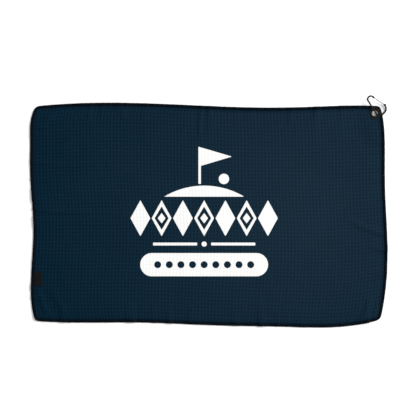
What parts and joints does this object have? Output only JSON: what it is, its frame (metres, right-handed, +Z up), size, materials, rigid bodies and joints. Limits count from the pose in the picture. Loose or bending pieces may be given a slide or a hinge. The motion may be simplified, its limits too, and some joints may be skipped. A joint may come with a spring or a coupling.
{
  "type": "golf towel",
  "caption": "Rectangular waffle-weave sports towel with overlocked edges, a printed emblem, a corner eyelet and a spring-gate clip to hang it from a bag.",
  "frame": {"origin": "middle of the cloth's underside, on the surface the towel lies on", "axes": "+X along the towel's length towards the end with the eyelet, +Y across it towards the long edge with the eyelet, +Z up out of the printed face"},
  "size_m": [0.6156, 0.3994, 0.0136],
  "materials": {
    "waffle_cloth": "navy waffle-weave microfibre, matt, short soft pile",
    "edge_thread": "near-black polyester overlock thread, dense, slight sheen",
    "emblem_film": "white transfer film, matt",
    "label_black": "black woven damask tape, satin",
    "label_thread": "black sewing thread",
    "eyelet_black": "black coated brass, satin",
    "clip_black": "black plated wire, satin",
    "gate_steel": "black plated spring wire, satin"
  },
  "bodies": {
    "towel": {"towel_cloth": "waffle_cloth", "edge_top": "edge_thread", "edge_right": "edge_thread", "edge_bottom": "edge_thread", "edge_left": "edge_thread", "grommet_eyelet": "eyelet_black", "grommet_washer": "eyelet_black", "print_film": "emblem_film", "side_label": "label_black", "label_stitches": "label_thread"},
    "clip": {"carabiner_body": "clip_black"},
    "gate": {"carabiner_gate": "gate_steel"}
  },
  "joints": [
    {"name": "clip_swing", "type": "hinge", "parent": "towel", "child": "clip", "pos_m": [0.28697, 0.17526, 0.00383], "axis": [0.832, 0.5548, 0], "range_deg": [0, 120]},
    {"name": "gate_open", "type": "hinge", "parent": "clip", "child": "gate", "pos_m": [0.3029, 0.18868, 0.00448], "axis": [0.1483, -0.2223, 0.9636], "range_deg": [0, 30], "stiffness_Nm_per_rad": 0.02, "springref_deg": -11.46}
  ]
}
